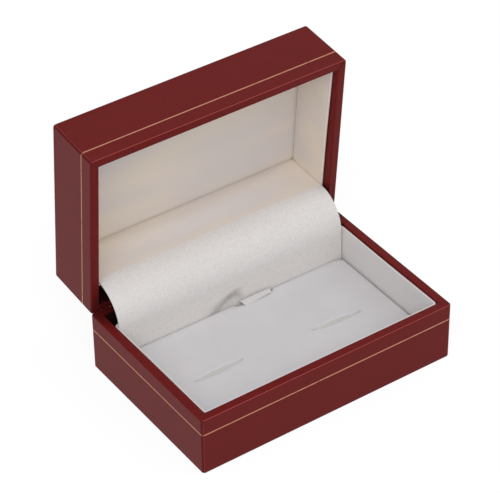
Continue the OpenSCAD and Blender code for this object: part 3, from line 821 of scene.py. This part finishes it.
# Rows beside a slit are drawn in to its line, and those within it go down between the lips
off = y - (slit_y - pad_middle)
along = np.abs(np.abs(x) - slit_x) / slit_half_l
bowed = np.clip(1 - along**2, 0, 1)
open_w = slit_half_w * bowed + 0.03
size = np.abs(off)
within = size <= 1.0001
outer = open_w + (size - 1) * (1 + slit_reach - open_w) / slit_reach
drawn = np.where(within, size * open_w, np.where(size < 1 + slit_reach, outer, size))
y = (slit_y - pad_middle) + (slit_line(x) - slit_y) * smooth((18 - size) / 13) + np.sign(off) * drawn
beside = np.clip(drawn - open_w, 0, None)
parted = bowed**0.5
lip_fall = lip_drop * np.exp(-beside / 0.25) - lip_bank * hump(beside, 1.1, 0.8)
down = size.clip(0, 1)
valley = np.where(within, lip_drop + (slit_deep - lip_drop) * (1 - down**4), lip_fall)
sag = pad_sag * (1 - inset / 9) ** 2
worn = worn_h * ripple(np.stack([x, y, 0 * x], -1), worn_length, seed=5)
crown = np.where(fall < pad_edge, sag + worn, sag)
z = pad_top - fall - np.where(fall < pad_top - floor_z - 0.4, crown, 0) - valley * parted * (fall < 0.01)
# The rear edge is squeezed tight and swells against the hinge cover, except where the pull tab lies
clear = smooth((np.abs(x - tab_x + 0.9) - tab_half_w - 0.4) / 1.4)
clear = clear * ramp(np.abs(x), pad_half_w, -3)
squeezed = ramp(y, pad_half_d - 2.5, 2.5) * clear * ramp(z, 4, 3)
y = y + pad_swell * squeezed
z = z + (0.8 * fall.clip(0, pad_edge) + crown) * squeezed
points = np.stack([x, y + pad_middle, z], -1)


def rim_loop(rows, columns):
    """Face that closes a grid from below: the loop of points round its rim."""
    end = rows * columns
    first, last = np.arange(columns), np.arange(end - 2, end - columns - 1, -1)
    right, left = np.arange(2 * columns - 1, end, columns), np.arange(end - 2 * columns, 0, -columns)
    return [np.r_[first, right, last, left].tolist()]


# The cut foam shows between the lips. Painted shade greys the lips, the tips of the slits and the pad's own
# edge
top = fall < 0.01
cut_share = np.where(within, 1.0, np.exp(-beside / 0.12)) * parted * top
lip_gap = np.where(within, (1 - down) * open_w, beside)
lip_line = hump(lip_gap, 0, 0.2) * (along < 1.0)
lip_tip = hump(along, 0.97, 0.08) * hump(drawn, 0, 0.4)
seam_share = (0.5 * lip_line + lip_tip).clip(0, 1) * top
seam_share = np.maximum(seam_share, 0.75 * (1 - inset / pad_corner).clip(0) ** 2)
pad_cover = make(
    "pad_velvet_cover",
    points,
    quads(*x.shape, False, False),
    velvet,
    sharp=70,
    caps=rim_loop(*x.shape),
    cut=cut_share,
    seam=seam_share,
)
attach(pad_cover, "pad")
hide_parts("pad_velvet")

foam = grained("foam", ("#d3cdb9", "#e2dcc9"), (0.85, 0.95), 1.2, 0.25, 0.06, **{"Specular IOR Level": 0.2})
grey_board = grained("grey_board", ("#8f8a82", "#a39e95"), (0.8, 0.92), 5, 0.3, 0.02, stretch=(1, 2, 1))
dress(foam, "pad_foam")
dress(grey_board, "pad_board", "lid_roof_card")


# Pull tab: a short length of white ribbon glued to the rear edge of the pad. It stands up between
# pad and cover, leans a little to the left, and is folded forward askew onto the velvet.
ribbon_t, tab_back, tab_top = 0.3, 19.675, 9.95
tab_bend, tab_over, fold_l, fold_skew, tab_drawn = 0.8, math.radians(135), 3.0, 0.4, 0.3


def ribbon_line(across):
    """Outer surface of the ribbon at each share across it, from -1 to 1, as distance forward and height: up
    from the floor, over a bend, and down towards the velvet. The fold is longest at the left edge."""
    stand = tab_top - tab_bend
    folded = fold_l - fold_skew * across[:, None]
    run = np.linspace(0, 1, 30)[None, :] * folded
    turn = np.minimum(run / tab_bend, tab_over)
    past = run - turn * tab_bend
    forward = tab_bend * (1 - np.cos(turn)) + past * math.sin(tab_over)
    height = stand + tab_bend * np.sin(turn) + past * math.cos(tab_over)
    rise = np.broadcast_to(np.linspace(floor_z, stand, 15)[:-1], (across.size, 14))
    return np.concatenate([0 * rise, forward], axis=1), np.concatenate([rise, height], axis=1)


across = np.linspace(-1, 1, 61)
forward, height = ribbon_line(across)
run_y, run_z = np.gradient(-forward, axis=1), np.gradient(height, axis=1)
length = np.hypot(run_y, run_z)
inwards = np.stack([-run_z / length, run_y / length], -1)
selvedge = 0.3 + 0.7 * ramp(np.abs(across), 1, -0.06) ** 0.5
front = np.stack([tab_back - forward, height], -1)
rear = front + (ribbon_t * selvedge)[:, None, None] * inwards
loop = np.concatenate([front, rear[:, ::-1]], axis=1)
# The ribbon leans to the left as it rises, and its folded end is drawn to the right at its left edge
risen = ramp(height, floor_z, tab_top - floor_z)
x = tab_x + tab_half_w * across[:, None] - tab_lean * risen + tab_drawn * forward * (1 - across[:, None])
x = np.concatenate([x, x[:, ::-1]], axis=1)
points = np.concatenate([x[..., None], loop], axis=-1)
ribbon = grained(
    "ribbon", ("#c6c3c0", "#d3d0cc"), (0.5, 0.6), 3, 0.16, 0.03, stretch=(3, 1, 1), **{"Sheen Weight": 0.1}
)
tab = make("pad_pull_tab", points, quads(*x.shape, False, True), ribbon, sharp=60, caps=end_caps(*x.shape))
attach(tab, "pad")
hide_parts("pull_tab")


# Cream satin lining of the lid. A satin covered card is folded round the front and sides, and a
# wadded panel of the same satin fills the top. A false back, wadded too, closes the bay over
# the hinge, and carries the hem of the hinge cover. Painted shade darkens the creases between them a little.
satin_t, roof_z, lining_top, false_back_y = 0.7, 1.33, 17.9, 20.1186
panel_half_w, panel_front, panel_back = 41.2, 25.7, 20.08
panel_low, panel_thick, panel_corner, panel_edge = 1.73, 0.7, 1.2, 0.12
back_top, back_edge, back_shade_w, back_swell = 18.8, 0.3, 2.0, 0.95
wall_slope, wall_soft, wall_bow = 0.45, 0.33, 0.15
panel_swell, panel_wander, wander_w = 0.35, 0.12, 38

satin, tree, shader, spot = surface("cream_satin")
threads = noise(tree, stretched(tree, spot, (0.12, 1, 1)), 6000.0, 2.0)
# Painted sheen: soft, drawn-out bands of greyer and creamier tone stand in for the satin's reflections
sheen_bands = noise(tree, stretched(tree, spot, (0.25, 1, 1), (0, 0.12, 0)), 75.0, 1.0)
tone = coloured(tree, ranged(tree, sheen_bands, 0.35, 0.65, 0.0, 1.0), "#dbd3ce", "#e7dbca")
# Painted shade in the creases, from the crease attribute
tone = coloured(tree, field(tree, "crease"), tone, "#a2958c")
gloss = {"Roughness": 0.42, "Specular IOR Level": 0.5, "Sheen Weight": 0.15}
cover_with(tree, shader, tone, threads, 0.01, gloss)

open_y = false_back_y + satin_t + 0.15
path = wall_stations(liner_half_w, None, open_y, liner_r, 0.0, liner_front)
plan = (liner_half_w, liner_front, 0.0, liner_r)
satin_wall = card_wall(
    "lid_satin_wall", path, plan, satin_t, roof_z, lining_top, wall_slope, wall_soft, wall_bow, as_lid, satin
)
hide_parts("lid_liner")

panel_half_d, panel_middle = (panel_front + panel_back) / 2, (panel_back - panel_front) / 2
xs, ys = eased(panel_half_w, panel_edge, 70), eased(panel_half_d, panel_edge, 44)
x, y, fall, inset = pillow(xs, ys, panel_half_w, panel_half_d, panel_corner, panel_edge, panel_thick, 3)
full = (1 - (x / panel_half_w) ** 4) * (1 - (y / panel_half_d) ** 4)
wander = panel_wander * full * ripple(np.stack([x, y, 0 * x], -1), wander_w, seed=14)
swell = panel_swell * full.clip(0, 1) ** 0.5 + wander
z = panel_low + panel_thick - fall + swell * (fall < panel_edge + 1e-6)
satin_panel = make(
    "lid_satin_panel",
    as_lid(np.stack([x, y + panel_middle, z], -1)),
    quads(*x.shape, False, False),
    satin,
    sharp=70,
    caps=rim_loop(*x.shape),
    # Painted shade towards the panel's edges
    crease=0.35 * (1 - inset / panel_corner).clip(0) ** 2,
)
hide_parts("lid_satin_pad")

# The false back is drawn as a slab lying down, as across and up. It swells in a low arch, highest a
# good third of the way up, and falls back to both ends
back_half_h = (back_top - roof_z) / 2
xs, ys = eased(panel_half_w, back_edge, 70), eased(back_half_h, back_edge, 36)
x, up, fall, inset = pillow(xs, ys, panel_half_w, back_half_h, 0.4, back_edge, satin_t, 2)
height = up + back_half_h
arch = np.clip(1 - (x / panel_half_w) ** 2, 0, 1)
crest = 2.2 + 4.2 * arch
rise = np.where(height < crest, height / crest, ramp(height, crest + 6.5, -6.5))
swell = back_swell * arch**0.6 * smooth(rise)
points = np.stack([x, false_back_y + fall - swell * (fall < back_edge + 0.01), roof_z + height], -1)
over_panel = (roof_z + height - panel_low - panel_thick).clip(0)
false_back = make(
    "lid_satin_false_back",
    as_lid(points),
    quads(*x.shape, False, False),
    satin,
    sharp=70,
    caps=rim_loop(*x.shape),
    # Painted shade along the crease with the panel
    crease=0.25 * (1 - over_panel / back_shade_w).clip(0) ** 2,
)
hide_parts("lid_false_back")
for piece in (satin_wall, satin_panel, false_back):
    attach(piece, "lid")
